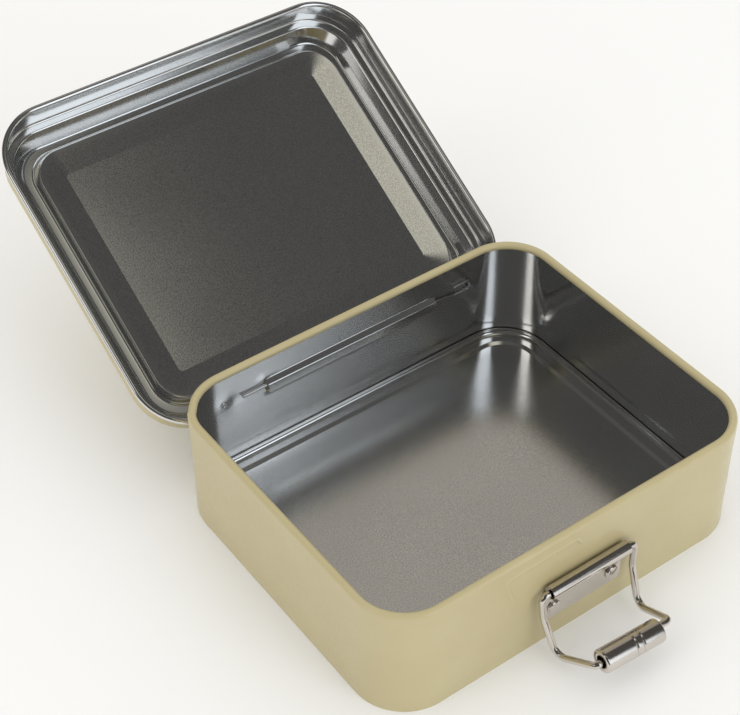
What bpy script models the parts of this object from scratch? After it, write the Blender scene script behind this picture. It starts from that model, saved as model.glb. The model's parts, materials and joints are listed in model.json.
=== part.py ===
"""A hinged tin box, standing open with its lid thrown back and its wire latch hanging.

Metres, +Z up. The origin is the middle of the box's footprint on the table. The hinge runs along X
at the back (+Y), the latch hangs on the front (-Y). Lid pieces are modelled shut and turned open
about the hinge; latch pieces are modelled hanging.
"""

from math import cos, pi, radians, sin, tan

import bmesh
import bpy
from mathutils import Vector

# Box: a lap-seamed wall, curled in at the rim, round a pressed base.
BOX_WIDTH = 0.150
BOX_DEPTH = 0.125
BOX_HEIGHT = 0.0455
BOX_CORNER = 0.0189
SHEET = 0.00035
RIM_CURL = 0.00144
GAP = 0.0003

# Base: upturned flange inside the wall, a shallow ring, and the floor stepped down to the table.
BASE_FLANGE = 0.0033
BASE_COVE = 0.0018
BASE_STEP_OUT = 0.0055
BASE_STEP_IN = 0.0068
BASE_STEP_DOWN = 0.0008

# Hinge: a channel pressed into the back wall takes the lid's rolled leaf and its wire pin.
HINGE_Y = BOX_DEPTH / 2
HINGE_Z = 0.03006
LID_OPEN = radians(149.2)
CHANNEL_HALF = 0.0364
CHANNEL_HIGH = 0.03225
CHANNEL_LOW = 0.02645
CHANNEL_BROW = (0.0020, 0.0307)
CHANNEL_LIP = (0.0025, 0.0276)
PIN_RADIUS = 0.00065
PIN_LIFT = 0.0002
PIN_JOG_START = 0.0332
PIN_JOG_END = 0.0358
PIN_LEFT_END = 0.0465
PIN_LOOP_START = 0.0450
PIN_LOOP_END = 0.0522
PIN_LOOP_RISE = 0.0024
LEAF_HALF = 0.0325
LEAF_CLEARANCE = 0.0002

# Lid: depths are measured from the plane of its open rim, insets from its outer edge.
LID_WIDTH = 0.155
LID_DEPTH = 0.131
LID_CORNER = 0.0214
LID_CENTRE_Y = -0.00037
LID_RIM_Z = 0.03492
LID_CURL = 0.0011
SKIRT_INSET = 2 * LID_CURL
LEDGE_DEPTH = 0.0109
WALL_INSET = 0.0051
CROWN_DEPTH = 0.0170
CROWN_INSET = 0.0090
CROWN_END = 0.0124
RIDGE_INSET = 0.0135
RIDGE_DEPTH = 0.0135
RIDGE_CORNER = 0.0110
PANEL_INSET = 0.0234
PANEL_DEPTH = 0.0143
PANEL_CORNER = 0.0012
FOLD = 0.0005

# Latch: a rolled bracket on the front wall carries a wire bail with a rolled sheet roller.
BRACKET_SHEET = 0.0004
BRACKET_RADIUS = 0.0024
BRACKET_HALF = 0.0160
BRACKET_Z = 0.026
BRACKET_FOOT = 0.0100
BRACKET_Y = -(BOX_DEPTH / 2 + GAP + BRACKET_RADIUS)
RIVET_X = 0.0120
RIVET_Z = 0.0150
RIVET_HEAD = 0.0024
RIVET_RISE = 0.0011
RIVET_SHANK = 0.0010
BAIL_RADIUS = 0.0012
BAIL_HALF = 0.0193
BAIL_SHOULDER = (0.0185, -0.0659, 0.0165)
BAIL_KNEE = (0.0172, -0.0719, 0.0027)
BAIL_FOOT = (0.0153, -0.0872, 0.0121)
BAIL_STUB = 0.0080
ROLLER_CENTRE = (-0.0015, -0.0875, 0.0120)
ROLLER_TILT = radians(1.25)
ROLLER_TURN = radians(-2.4)
ROLLER_RADIUS = 0.0041
ROLLER_HALF = 0.0116
ROLLER_SHEET = 0.00045
ROLLER_BAND = 0.00165
ROLLER_GROOVE = 0.0009

CORNER_STEPS = 9
CURL_STEPS = 9
TURN_STEPS = 24


def new_collection(name):
    collection = bpy.data.collections.new(name)
    bpy.context.scene.collection.children.link(collection)
    return collection


def finish_material(name, colour, roughness, metallic):
    """A Principled finish: linear colour, roughness and metalness."""
    material = bpy.data.materials.new(name)
    material.use_nodes = True
    shader = material.node_tree.nodes["Principled BSDF"]
    shader.inputs["Base Color"].default_value = (*colour, 1)
    shader.inputs["Roughness"].default_value = roughness
    shader.inputs["Metallic"].default_value = metallic
    return material


def place(name, data, collection, material, parent=None, location=(0, 0, 0)):
    piece = bpy.data.objects.new(name, data)
    collection.objects.link(piece)
    piece.parent = parent
    piece.location = location
    if material:
        data.materials.append(material)
    return piece


def make_cutter(piece):
    piece.hide_render = True
    piece.display_type = "WIRE"
    return piece


def solidify(piece, thickness, offset):
    shell = piece.modifiers.new("sheet", "SOLIDIFY")
    shell.thickness = thickness
    shell.offset = offset
    shell.use_even_offset = True
    return shell


def boolean(piece, other, operation):
    cut = piece.modifiers.new(other.name, "BOOLEAN")
    cut.operation = operation
    cut.solver = "EXACT"
    cut.object = other
    return cut


def rounded_ring(half_x, half_y, corner, z):
    """Points of a rounded rectangle, anticlockwise from its (+x, -y) corner."""
    points = []
    for quarter, (side_x, side_y) in enumerate(((1, -1), (1, 1), (-1, 1), (-1, -1))):
        for step in range(CORNER_STEPS + 1):
            angle = (quarter - 1 + step / CORNER_STEPS) * pi / 2
            x = side_x * (half_x - corner) + corner * cos(angle)
            y = side_y * (half_y - corner) + corner * sin(angle)
            points.append((x, y, z))
    return points


def lofted_sheet(name, rings, close_last):
    """An open surface through rings of equal point counts, its last ring filled if asked."""
    mesh = bpy.data.meshes.new(name)
    builder = bmesh.new()
    rows = [[builder.verts.new(point) for point in ring] for ring in rings]
    count = len(rings[0])
    for lower, upper in zip(rows, rows[1:]):
        for index in range(count):
            after = (index + 1) % count
            builder.faces.new((lower[index], lower[after], upper[after], upper[index]))
    if close_last:
        builder.faces.new(rows[-1])
    builder.to_mesh(mesh)
    builder.free()
    return mesh


def strip_sheet(name, profile):
    """A ruled strip along X: each profile row is (half width, y, z)."""
    mesh = bpy.data.meshes.new(name)
    builder = bmesh.new()
    rows = []
    for half, y, z in profile:
        rows.append([builder.verts.new((side * half, y, z)) for side in (-1, 1)])
    for lower, upper in zip(rows, rows[1:]):
        builder.faces.new((lower[0], lower[1], upper[1], upper[0]))
    builder.to_mesh(mesh)
    builder.free()
    return mesh


def arc(centre_y, centre_z, radius, start, end, steps):
    """(y, z) points of an arc about a line along X; angles in degrees from +Y towards +Z."""
    angles = [radians(start + (end - start) * step / steps) for step in range(steps + 1)]
    return [(centre_y + radius * cos(angle), centre_z + radius * sin(angle)) for angle in angles]


def rounded_path(points, radii, steps=6):
    """A polyline with each inner corner turned into an arc of the given radius."""
    path = [Vector(points[0])]
    for before, corner, after, radius in zip(points, points[1:], points[2:], radii):
        corner = Vector(corner)
        back = (Vector(before) - corner).normalized()
        ahead = (Vector(after) - corner).normalized()
        half = back.angle(ahead) / 2
        centre = corner + (back + ahead).normalized() * radius / sin(half)
        first = (corner + back * radius / tan(half) - centre).normalized()
        last = (corner + ahead * radius / tan(half) - centre).normalized()
        for step in range(steps + 1):
            share = step / steps
            path.append(centre + first.slerp(last, share) * radius)
    path.append(Vector(points[-1]))
    return path


def wire(name, path, radius):
    """A round wire with closed ends along a path."""
    curve = bpy.data.curves.new(name, "CURVE")
    curve.dimensions = "3D"
    curve.bevel_depth = radius
    curve.bevel_resolution = 2
    curve.use_fill_caps = True
    spline = curve.splines.new("POLY")
    spline.points.add(len(path) - 1)
    for knot, point in zip(spline.points, path):
        knot.co = (*point, 1)
    return curve


def turned(name, profile, axis):
    """A turned solid: profile points are (distance from the axis, place along it)."""
    mesh = bpy.data.meshes.new(name)
    if axis == "X":
        points = [(along, 0, out) for out, along in profile]
    else:
        points = [(out, along, 0) for out, along in profile]
    edges = [(index, index + 1) for index in range(len(points) - 1)]
    mesh.from_pydata(points, edges, [])
    return mesh


def screw(piece, axis):
    turn = piece.modifiers.new("turn", "SCREW")
    turn.axis = axis
    turn.steps = TURN_STEPS
    turn.render_steps = TURN_STEPS
    turn.use_merge_vertices = True
    turn.merge_threshold = 0.00002
    turn.use_normal_flip = True
    return turn


def cutter_block(name, low, high, collection, parent=None, location=(0, 0, 0)):
    mesh = bpy.data.meshes.new(name)
    builder = bmesh.new()
    bmesh.ops.create_cube(builder, size=1)
    for vertex in builder.verts:
        for axis in range(3):
            middle = (low[axis] + high[axis]) / 2
            vertex.co[axis] = middle + vertex.co[axis] * (high[axis] - low[axis])
    builder.to_mesh(mesh)
    builder.free()
    return make_cutter(place(name, mesh, collection, None, parent, location))


def rivet_hole(name, x, collection):
    """A drill along Y through the bracket's flange and the front wall."""
    mesh = bpy.data.meshes.new(name)
    builder = bmesh.new()
    radius = RIVET_SHANK + GAP
    bmesh.ops.create_cone(builder, cap_ends=True, segments=16, radius1=radius, radius2=radius, depth=0.01)
    builder.to_mesh(mesh)
    builder.free()
    drill = make_cutter(place(name, mesh, collection, None, None, (x, -BOX_DEPTH / 2, RIVET_Z)))
    drill.rotation_euler = (pi / 2, 0, 0)
    return drill


def box_wall(parts, cutters, paint):
    """The wall, with its curled rim, the hinge channel and the latch's rivet holes."""
    profile = [(0, 0)]
    profile += arc(RIM_CURL, BOX_HEIGHT - RIM_CURL, RIM_CURL, 180, -105, CURL_STEPS)
    rings = []
    for inset, z in profile:
        rings.append(rounded_ring(BOX_WIDTH / 2 - inset, BOX_DEPTH / 2 - inset, BOX_CORNER - inset, z))
    wall = place("box_wall", lofted_sheet("box_wall", rings, False), parts, paint)
    solidify(wall, SHEET, -1)

    window = cutter_block(
        "channel_window",
        (-CHANNEL_HALF, BOX_DEPTH / 2 - 0.002, CHANNEL_LOW + 0.00025),
        (CHANNEL_HALF, BOX_DEPTH / 2 + 0.002, CHANNEL_HIGH - 0.00025),
        cutters,
    )
    boolean(wall, window, "DIFFERENCE")

    middle = BOX_DEPTH / 2 - SHEET / 2
    half = CHANNEL_HALF - GAP / 2
    folds = [
        (half, middle, CHANNEL_LOW),
        (half, middle - CHANNEL_LIP[0], CHANNEL_LIP[1]),
        (half, middle - CHANNEL_BROW[0], CHANNEL_BROW[1]),
        (half, middle, CHANNEL_HIGH),
    ]
    rows = [tuple(place) for place in rounded_path(folds, (0.0006, 0.0016), 5)]
    channel = make_cutter(place("hinge_channel", strip_sheet("hinge_channel", rows), cutters, None))
    solidify(channel, SHEET, 0)
    boolean(wall, channel, "UNION")

    for side in (-1, 1):
        boolean(wall, rivet_hole(f"wall_hole_{side}", side * RIVET_X, cutters), "DIFFERENCE")


def box_base(parts, tinplate):
    """The base: a flange up the wall, a ring just off the table, and the floor it rests on."""
    inner = SHEET + GAP + SHEET
    ring_z = SHEET + BASE_STEP_DOWN
    profile = [(inner, BASE_FLANGE), (inner, ring_z + BASE_COVE)]
    profile += arc(inner + BASE_COVE, ring_z + BASE_COVE, BASE_COVE, 180, 270, 4)[1:]
    profile.append((BASE_STEP_OUT, ring_z))
    profile.append((BASE_STEP_IN, SHEET))
    rings = []
    for inset, z in profile:
        corner = max(BOX_CORNER - inset, PANEL_CORNER)
        rings.append(rounded_ring(BOX_WIDTH / 2 - inset, BOX_DEPTH / 2 - inset, corner, z))
    base = place("box_base", lofted_sheet("box_base", rings, True), parts, tinplate)
    solidify(base, SHEET, -1)


def lid_shell(parts, cutters, paint, hinge):
    """The lid: outward curl, skirt, ledge, crown ring, ridge, bevel and centre panel."""
    curl = arc(LID_CURL, LID_CURL, LID_CURL, 80, 360, CURL_STEPS)
    rows = [(inset, depth, LID_CORNER - inset) for inset, depth in curl]
    wall_corner = LID_CORNER - CROWN_INSET
    rows += [
        (SKIRT_INSET, LEDGE_DEPTH - FOLD, LID_CORNER - SKIRT_INSET),
        (SKIRT_INSET + FOLD, LEDGE_DEPTH, LID_CORNER - SKIRT_INSET - FOLD),
        (WALL_INSET - FOLD, LEDGE_DEPTH, LID_CORNER - WALL_INSET + FOLD),
        (WALL_INSET + FOLD / 2, LEDGE_DEPTH + FOLD, LID_CORNER - WALL_INSET),
        (CROWN_INSET - FOLD / 2, CROWN_DEPTH - FOLD, wall_corner + FOLD),
        (CROWN_INSET + FOLD / 2, CROWN_DEPTH, wall_corner),
        (CROWN_END - FOLD / 2, CROWN_DEPTH, RIDGE_CORNER + FOLD),
        (CROWN_END + FOLD / 3, CROWN_DEPTH - FOLD, RIDGE_CORNER + FOLD),
        (RIDGE_INSET - FOLD, RIDGE_DEPTH + FOLD, RIDGE_CORNER),
        (RIDGE_INSET, RIDGE_DEPTH, RIDGE_CORNER),
        (PANEL_INSET, PANEL_DEPTH, PANEL_CORNER),
    ]
    rings = []
    for inset, depth, corner in rows:
        ring = rounded_ring(LID_WIDTH / 2 - inset, LID_DEPTH / 2 - inset, corner, LID_RIM_Z + depth - HINGE_Z)
        rings.append([(x, y + LID_CENTRE_Y - HINGE_Y, z) for x, y, z in ring])
    lid = place("lid_shell", lofted_sheet("lid_shell", rings, True), parts, paint, hinge)
    solidify(lid, SHEET, 1)

    back = LID_CENTRE_Y + LID_DEPTH / 2 - HINGE_Y
    notch = cutter_block(
        "curl_notch",
        (-CHANNEL_HALF, back - SKIRT_INSET - 0.001, LID_RIM_Z - HINGE_Z - 0.001),
        (CHANNEL_HALF, back + 0.001, LID_RIM_Z - HINGE_Z + 2 * LID_CURL + 0.0005),
        cutters,
        hinge,
    )
    boolean(lid, notch, "DIFFERENCE")


def hinge_leaf(parts, paint, hinge):
    """The leaf welded to the lid's back skirt and rolled round the pin."""
    back = LID_CENTRE_Y + LID_DEPTH / 2 - HINGE_Y
    leaf_y = back - SKIRT_INSET + SHEET + GAP + SHEET / 2
    leaf_top = LID_RIM_Z + LEDGE_DEPTH - 0.0015 - HINGE_Z
    roll = PIN_RADIUS + LEAF_CLEARANCE + SHEET / 2
    rows = [(LEAF_HALF, leaf_y, leaf_top), (LEAF_HALF, leaf_y, 0.003)]
    rows += [(LEAF_HALF, y, z) for y, z in arc(0, 0, roll, 0, -290, 14)]
    leaf = place("hinge_leaf", strip_sheet("hinge_leaf", rows), parts, paint, hinge)
    solidify(leaf, SHEET, 0)


def hinge_pin(parts, steel):
    """The pin: straight through the leaf, its ends stepped in to lie on the wall's inner face."""
    inside = BOX_DEPTH / 2 - SHEET - PIN_LIFT - PIN_RADIUS
    points = [
        (-PIN_LEFT_END, inside, HINGE_Z),
        (-PIN_JOG_END, inside, HINGE_Z),
        (-PIN_JOG_START, HINGE_Y, HINGE_Z),
        (PIN_JOG_START, HINGE_Y, HINGE_Z),
        (PIN_JOG_END, inside, HINGE_Z),
        (PIN_LOOP_START, inside, HINGE_Z - PIN_LOOP_RISE / 2),
        (PIN_LOOP_END, inside, HINGE_Z - PIN_LOOP_RISE / 2),
        (PIN_LOOP_END, inside, HINGE_Z + PIN_LOOP_RISE),
        (PIN_LOOP_START, inside, HINGE_Z + PIN_LOOP_RISE),
    ]
    radii = (0.001, 0.001, 0.001, 0.001, 0.002, 0.0012, 0.0012)
    place("hinge_pin", wire("hinge_pin", rounded_path(points, radii, 4), PIN_RADIUS), parts, steel)


def latch_bracket(parts, cutters, nickel):
    """The bracket: a flange flat on the front wall, rolled over at the top into a tube."""
    middle = BRACKET_RADIUS - BRACKET_SHEET / 2
    flange_y = BRACKET_Y + middle
    rows = [
        (BRACKET_HALF - 0.0016, flange_y, BRACKET_FOOT),
        (BRACKET_HALF - 0.0005, flange_y, BRACKET_FOOT + 0.0005),
        (BRACKET_HALF, flange_y, BRACKET_FOOT + 0.0016),
    ]
    rows += [(BRACKET_HALF, y, z) for y, z in arc(BRACKET_Y, BRACKET_Z, middle, 0, 300, 18)]
    bracket = place("latch_bracket", strip_sheet("latch_bracket", rows), parts, nickel)
    solidify(bracket, BRACKET_SHEET, 0)
    for side in (-1, 1):
        boolean(bracket, rivet_hole(f"bracket_hole_{side}", side * RIVET_X, cutters), "DIFFERENCE")


def latch_rivets(parts, nickel):
    """Two round-headed rivets through flange and wall, set flat inside."""
    outer = -(BOX_DEPTH / 2 + GAP + BRACKET_SHEET + GAP)
    inner = -(BOX_DEPTH / 2 - SHEET - GAP)
    dome = []
    for step in range(6):
        angle = radians(90 * step / 5)
        dome.append((RIVET_HEAD * sin(angle), outer - RIVET_RISE * cos(angle)))
    tail = [
        (RIVET_SHANK, outer),
        (RIVET_SHANK, inner),
        (RIVET_HEAD * 0.8, inner),
        (RIVET_HEAD * 0.8, inner + 0.0006),
        (0, inner + 0.0006),
    ]
    for name, side in (("left", -1), ("right", 1)):
        rivet = place(
            f"rivet_{name}",
            turned(f"rivet_{name}", dome + tail, "Y"),
            parts,
            nickel,
            None,
            (side * RIVET_X, 0, RIVET_Z),
        )
        screw(rivet, "Y")


def bail_wire(parts, nickel, pivot):
    """The bail: through the bracket, down both sides, out at the knee and into the roller."""
    half = [
        (BAIL_STUB, BAIL_FOOT[1], BAIL_FOOT[2]),
        BAIL_FOOT,
        BAIL_KNEE,
        BAIL_SHOULDER,
        (BAIL_HALF, BRACKET_Y, BRACKET_Z),
    ]
    turns = (0.0018, 0.0040, 0.0080, 0.0022)
    points = [(x, y - BRACKET_Y, z - BRACKET_Z) for x, y, z in half]
    points += [(-x, y, z) for x, y, z in reversed(points)]
    path = rounded_path(points, turns + turns[::-1])
    place("bail_wire", wire("bail_wire", path, BAIL_RADIUS), parts, nickel, pivot)


def bail_roller(parts, nickel, pivot):
    """The roller: a rolled tube, loose and so a little askew on the bail's two ends, with two grooves."""
    bore = ROLLER_RADIUS - ROLLER_SHEET
    waist = ROLLER_RADIUS - ROLLER_SHEET / 3
    profile = [
        (bore, -ROLLER_HALF),
        (ROLLER_RADIUS, -ROLLER_HALF),
        (ROLLER_RADIUS, ROLLER_BAND - 2 * ROLLER_GROOVE),
        (waist, ROLLER_BAND - 1.5 * ROLLER_GROOVE),
        (ROLLER_RADIUS, ROLLER_BAND - ROLLER_GROOVE),
        (ROLLER_RADIUS, ROLLER_BAND + ROLLER_GROOVE),
        (waist, ROLLER_BAND + 1.5 * ROLLER_GROOVE),
        (ROLLER_RADIUS, ROLLER_BAND + 2 * ROLLER_GROOVE),
        (ROLLER_RADIUS, ROLLER_HALF),
        (bore, ROLLER_HALF),
        (bore, -ROLLER_HALF),
    ]
    centre_x, centre_y, centre_z = ROLLER_CENTRE
    place_at = (centre_x, centre_y - BRACKET_Y, centre_z - BRACKET_Z)
    roller = place("bail_roller", turned("bail_roller", profile, "X"), parts, nickel, pivot, place_at)
    roller.rotation_euler = (0, ROLLER_TILT, ROLLER_TURN)
    screw(roller, "X")


def pivot_empty(name, collection, location, angle):
    pivot = bpy.data.objects.new(name, None)
    collection.objects.link(pivot)
    pivot.location = location
    pivot.rotation_euler = (angle, 0, 0)
    return pivot


def build():
    for leftover in list(bpy.data.objects):
        bpy.data.objects.remove(leftover)
    parts = new_collection("hinged_tin_box")
    cutters = new_collection("cutters")

    paint = finish_material("cream_paint", (0.50, 0.45, 0.27), 0.38, 0.0)
    tinplate = finish_material("tinplate", (0.52, 0.52, 0.50), 0.30, 1.0)
    steel = finish_material("wire_steel", (0.60, 0.60, 0.60), 0.25, 1.0)
    nickel = finish_material("nickel", (0.66, 0.63, 0.58), 0.20, 1.0)

    hinge = pivot_empty("lid_hinge", parts, (0, HINGE_Y, HINGE_Z), -LID_OPEN)
    pivot = pivot_empty("bail_hinge", parts, (0, BRACKET_Y, BRACKET_Z), 0)

    box_wall(parts, cutters, paint)
    box_base(parts, tinplate)
    lid_shell(parts, cutters, paint, hinge)
    hinge_leaf(parts, paint, hinge)
    hinge_pin(parts, steel)
    latch_bracket(parts, cutters, nickel)
    latch_rivets(parts, nickel)
    bail_wire(parts, nickel, pivot)
    bail_roller(parts, nickel, pivot)


build()
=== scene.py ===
"""Looks for the hinged tin box: the lid thrown back, the wire latch hanging in front.

Metres, +Z up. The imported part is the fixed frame; every piece below is made over one of its nodes,
in the order in which such a box is put together: wall, base, lid, hinge, latch, then the table.
"""

import json
from math import cos, exp, pi, radians, sin, tan

import bmesh
import bpy
from mathutils import Matrix, Vector, noise


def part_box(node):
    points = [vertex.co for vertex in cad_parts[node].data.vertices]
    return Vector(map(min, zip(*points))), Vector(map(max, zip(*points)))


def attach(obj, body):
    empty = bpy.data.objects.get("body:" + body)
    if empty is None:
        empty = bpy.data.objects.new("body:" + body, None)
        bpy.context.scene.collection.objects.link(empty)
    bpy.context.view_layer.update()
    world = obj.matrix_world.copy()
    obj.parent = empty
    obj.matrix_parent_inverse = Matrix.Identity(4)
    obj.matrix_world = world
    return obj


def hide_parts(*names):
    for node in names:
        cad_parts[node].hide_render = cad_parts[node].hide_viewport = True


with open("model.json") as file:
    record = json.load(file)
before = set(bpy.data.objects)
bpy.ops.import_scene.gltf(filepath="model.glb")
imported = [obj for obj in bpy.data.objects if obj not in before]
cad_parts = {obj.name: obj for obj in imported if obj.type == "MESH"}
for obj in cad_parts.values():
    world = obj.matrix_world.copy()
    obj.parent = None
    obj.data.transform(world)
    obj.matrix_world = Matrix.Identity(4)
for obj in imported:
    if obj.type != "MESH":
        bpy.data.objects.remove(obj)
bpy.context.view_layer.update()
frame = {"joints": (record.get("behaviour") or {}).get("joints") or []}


# ---- The wall -----------------------------------------------------------------------------------
# One strip of tinplate, painted on its outer face, bent round four corners and lap-seamed at the
# back left one. Its rim is curled inward, a channel for the hinge is pressed into its back with
# small marks beside it, and a low bead stands out of the front.

WALL_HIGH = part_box("box_wall")[1]
HALF_WIDTH = WALL_HIGH.x
HALF_DEPTH = WALL_HIGH.y
WALL_TOP = WALL_HIGH.z
BODY_CORNER = 0.0189
SHEET = 0.00035
GAP = 0.0003
RIM_CURL = 0.00144
BELOW_CURL = 0.001
SEAM_X = -0.945 * HALF_WIDTH
SEAM_Y = 0.89 * HALF_DEPTH
SEAM_LAP = 0.0004
SEAM_FADE = 0.030
CHANNEL_HALF = 0.0364
CHANNEL_HIGH = 0.03225
CHANNEL_LOW = 0.02645
CHANNEL_BROW = (0.0020, 0.0307)
CHANNEL_LIP = (0.0025, 0.0276)
CHANNEL_BENDS = (0.0003, 0.0007, 0.0006)
CHANNEL_ABOVE = 0.0012
SLIT_DEPTH = 0.00015
# Small marks in the back: place across, height, radius and how far each stands out.
PRESS_MARKS = (
    (-CHANNEL_HALF - 0.0008, CHANNEL_HIGH + 0.0007, 0.0014, -0.00022),
    (CHANNEL_HALF + 0.0008, CHANNEL_HIGH + 0.0007, 0.0014, -0.00022),
    (-0.0497, 0.0292, 0.0028, 0.00014),
    (-0.0537, 0.0297, 0.0036, -0.00018),
)
PRESS_MARK_BAND = 0.002
# The bead's corners: place across, height and radius of the bend.
BEAD_CORNERS = (
    (-0.0262, 0.0225, 0), (-0.0318, 0.0398, 0.0014), (-0.0038, 0.0403, 0.0016), (-0.0008, 0.0362, 0),
)
BEAD_HALF = 0.0008
BEAD_RISE = 0.00024
BEAD_SINK = 0.00003
BEAD_FADE = 5
BEAD_STEPS = 5
MARK_X = -0.0537
MARK_Z = 0.0297
MARK_RADIUS = 0.0014
MARK_FACE = HALF_DEPTH - SHEET - 0.00024
# The ring mark from its edge to its middle: share of its radius and how far it stands in.
MARK_RELIEF = (
    (1, 0), (0.88, 0.00032), (0.70, 0.00042), (0.52, 0.00020), (0.40, 0), (0.30, 0.00022), (0, 0.00028),
)
WALL_WAVE = 0.00006
WALL_WAVE_SIZE = 0.034
WALL_WAVE_RISE = 0.7
WAVE_FREE_RIM = 0.004
WAVE_RIM_FADE = 0.012
WAVE_FOOT_FADE = 0.008
CORNER_STEPS = 26
CURL_STEPS = 26
COLUMN_SPACING = 0.0035
SAME_PLACE = 1e-6
SAME_SHARE = 1e-9

PAINT_KHAKI = (0.503, 0.436, 0.244)
PAINT_DEEP = (0.483, 0.413, 0.225)
PAINT_RELIEF = 0.00008
TIN_PALE = (0.76, 0.76, 0.755)
TIN_DULL = (0.72, 0.72, 0.715)
METAL_RELIEF = 0.00006
PIT_TONE = 0.62

HINGE = next(joint for joint in frame["joints"] if joint["name"] == "lid_hinge")
HINGE_Y = HINGE["pos_m"][1]
HINGE_Z = HINGE["pos_m"][2]


def new_group(name, inputs, outputs):
    """An empty shader node group with float sockets: inputs are (name, value) pairs."""
    group = bpy.data.node_groups.new(name, "ShaderNodeTree")
    for socket_name, value in inputs:
        socket = group.interface.new_socket(socket_name, in_out="INPUT", socket_type="NodeSocketFloat")
        socket.default_value = value
    for socket_name in outputs:
        group.interface.new_socket(socket_name, in_out="OUTPUT", socket_type="NodeSocketFloat")
    return group


def noise_mask(tree, place, scale, detail):
    """Noise over a place; its scale is a number or another node's output."""
    texture = tree.nodes.new("ShaderNodeTexNoise")
    texture.inputs["Detail"].default_value = detail
    tree.links.new(place, texture.inputs["Vector"])
    if isinstance(scale, int):
        texture.inputs["Scale"].default_value = scale
    else:
        tree.links.new(scale, texture.inputs["Scale"])
    return texture.outputs["Fac"]


def product(tree, first, second):
    """Two masks multiplied."""
    times = tree.nodes.new("ShaderNodeMath")
    times.operation = "MULTIPLY"
    tree.links.new(first, times.inputs[0])
    tree.links.new(second, times.inputs[1])
    return times.outputs["Value"]


def ranged(tree, source, low, high, first=0.35, last=0.65):
    """The mask from source, spread from low (where it is first) to high (where it is last)."""
    spread = tree.nodes.new("ShaderNodeMapRange")
    spread.inputs["From Min"].default_value = first
    spread.inputs["From Max"].default_value = last
    spread.inputs["To Min"].default_value = low
    spread.inputs["To Max"].default_value = high
    tree.links.new(source, spread.inputs["Value"])
    return spread.outputs["Result"]


def blended(tree, mask, first, second):
    """A colour that goes from first to second as the mask goes from 0 to 1."""
    blend = tree.nodes.new("ShaderNodeMix")
    blend.data_type = "RGBA"
    tree.links.new(mask, blend.inputs["Factor"])
    for socket, colour in (("A", first), ("B", second)):
        wanted = [s for s in blend.inputs if s.name == socket and s.type == "RGBA"][0]
        if isinstance(colour, tuple):
            wanted.default_value = (*colour, 1)
        else:
            tree.links.new(colour, wanted)
    return [s for s in blend.outputs if s.type == "RGBA"][0]


def bumped(tree, source, strength, distance):
    """The mask from source as fine relief."""
    bump = tree.nodes.new("ShaderNodeBump")
    bump.inputs["Strength"].default_value = strength
    bump.inputs["Distance"].default_value = distance
    tree.links.new(source, bump.inputs["Height"])
    return bump.outputs["Normal"]


def enamel_skin_group():
    """Baked enamel on sheet: soft cloudiness, fine flow marks and small rubs on the proud edges."""
    group = new_group(
        "enamel_skin",
        (("Cloud Size", 60), ("Flow Size", 900), ("Rub Amount", 0.4)),
        ("Cloud", "Flow", "Rub"),
    )
    given = group.nodes.new("NodeGroupInput")
    result = group.nodes.new("NodeGroupOutput")
    place = group.nodes.new("ShaderNodeTexCoord").outputs["Object"]
    edge = group.nodes.new("ShaderNodeNewGeometry").outputs["Pointiness"]
    proud = ranged(group, edge, 0, 1, first=0.54, last=0.66)
    chipped = ranged(group, noise_mask(group, place, 1400, detail=4), 0, 1, first=0.60, last=0.72)
    rub = product(group, product(group, proud, chipped), given.outputs["Rub Amount"])
    cloud = noise_mask(group, place, given.outputs["Cloud Size"], detail=3)
    flow = noise_mask(group, place, given.outputs["Flow Size"], detail=2)
    for name, mask in (("Cloud", cloud), ("Flow", flow), ("Rub", rub)):
        group.links.new(mask, result.inputs[name])
    return group


def rolled_metal_group():
    """Bare rolled metal: grain drawn out along the rolling, handling smudges and fine pits."""
    group = new_group(
        "rolled_metal",
        (("Grain Size", 900), ("Grain Stretch", 12), ("Smudge Size", 28)),
        ("Grain", "Smudge", "Sparkle"),
    )
    given = group.nodes.new("NodeGroupInput")
    result = group.nodes.new("NodeGroupOutput")
    place = group.nodes.new("ShaderNodeTexCoord").outputs["Object"]
    narrow = group.nodes.new("ShaderNodeMath")
    narrow.operation = "DIVIDE"
    narrow.inputs[0].default_value = 1
    group.links.new(given.outputs["Grain Stretch"], narrow.inputs[1])
    stretch = group.nodes.new("ShaderNodeCombineXYZ")
    stretch.inputs["Y"].default_value = 1
    stretch.inputs["Z"].default_value = 1
    group.links.new(narrow.outputs["Value"], stretch.inputs["X"])
    drawn = group.nodes.new("ShaderNodeVectorMath")
    drawn.operation = "MULTIPLY"
    group.links.new(place, drawn.inputs[0])
    group.links.new(stretch.outputs["Vector"], drawn.inputs[1])
    grain = noise_mask(group, drawn.outputs["Vector"], given.outputs["Grain Size"], detail=4)
    smudge = noise_mask(group, place, given.outputs["Smudge Size"], detail=3)
    sparkle = noise_mask(group, place, 2600, detail=2)
    for name, mask in (("Grain", grain), ("Smudge", smudge), ("Sparkle", sparkle)):
        group.links.new(mask, result.inputs[name])
    return group


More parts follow.
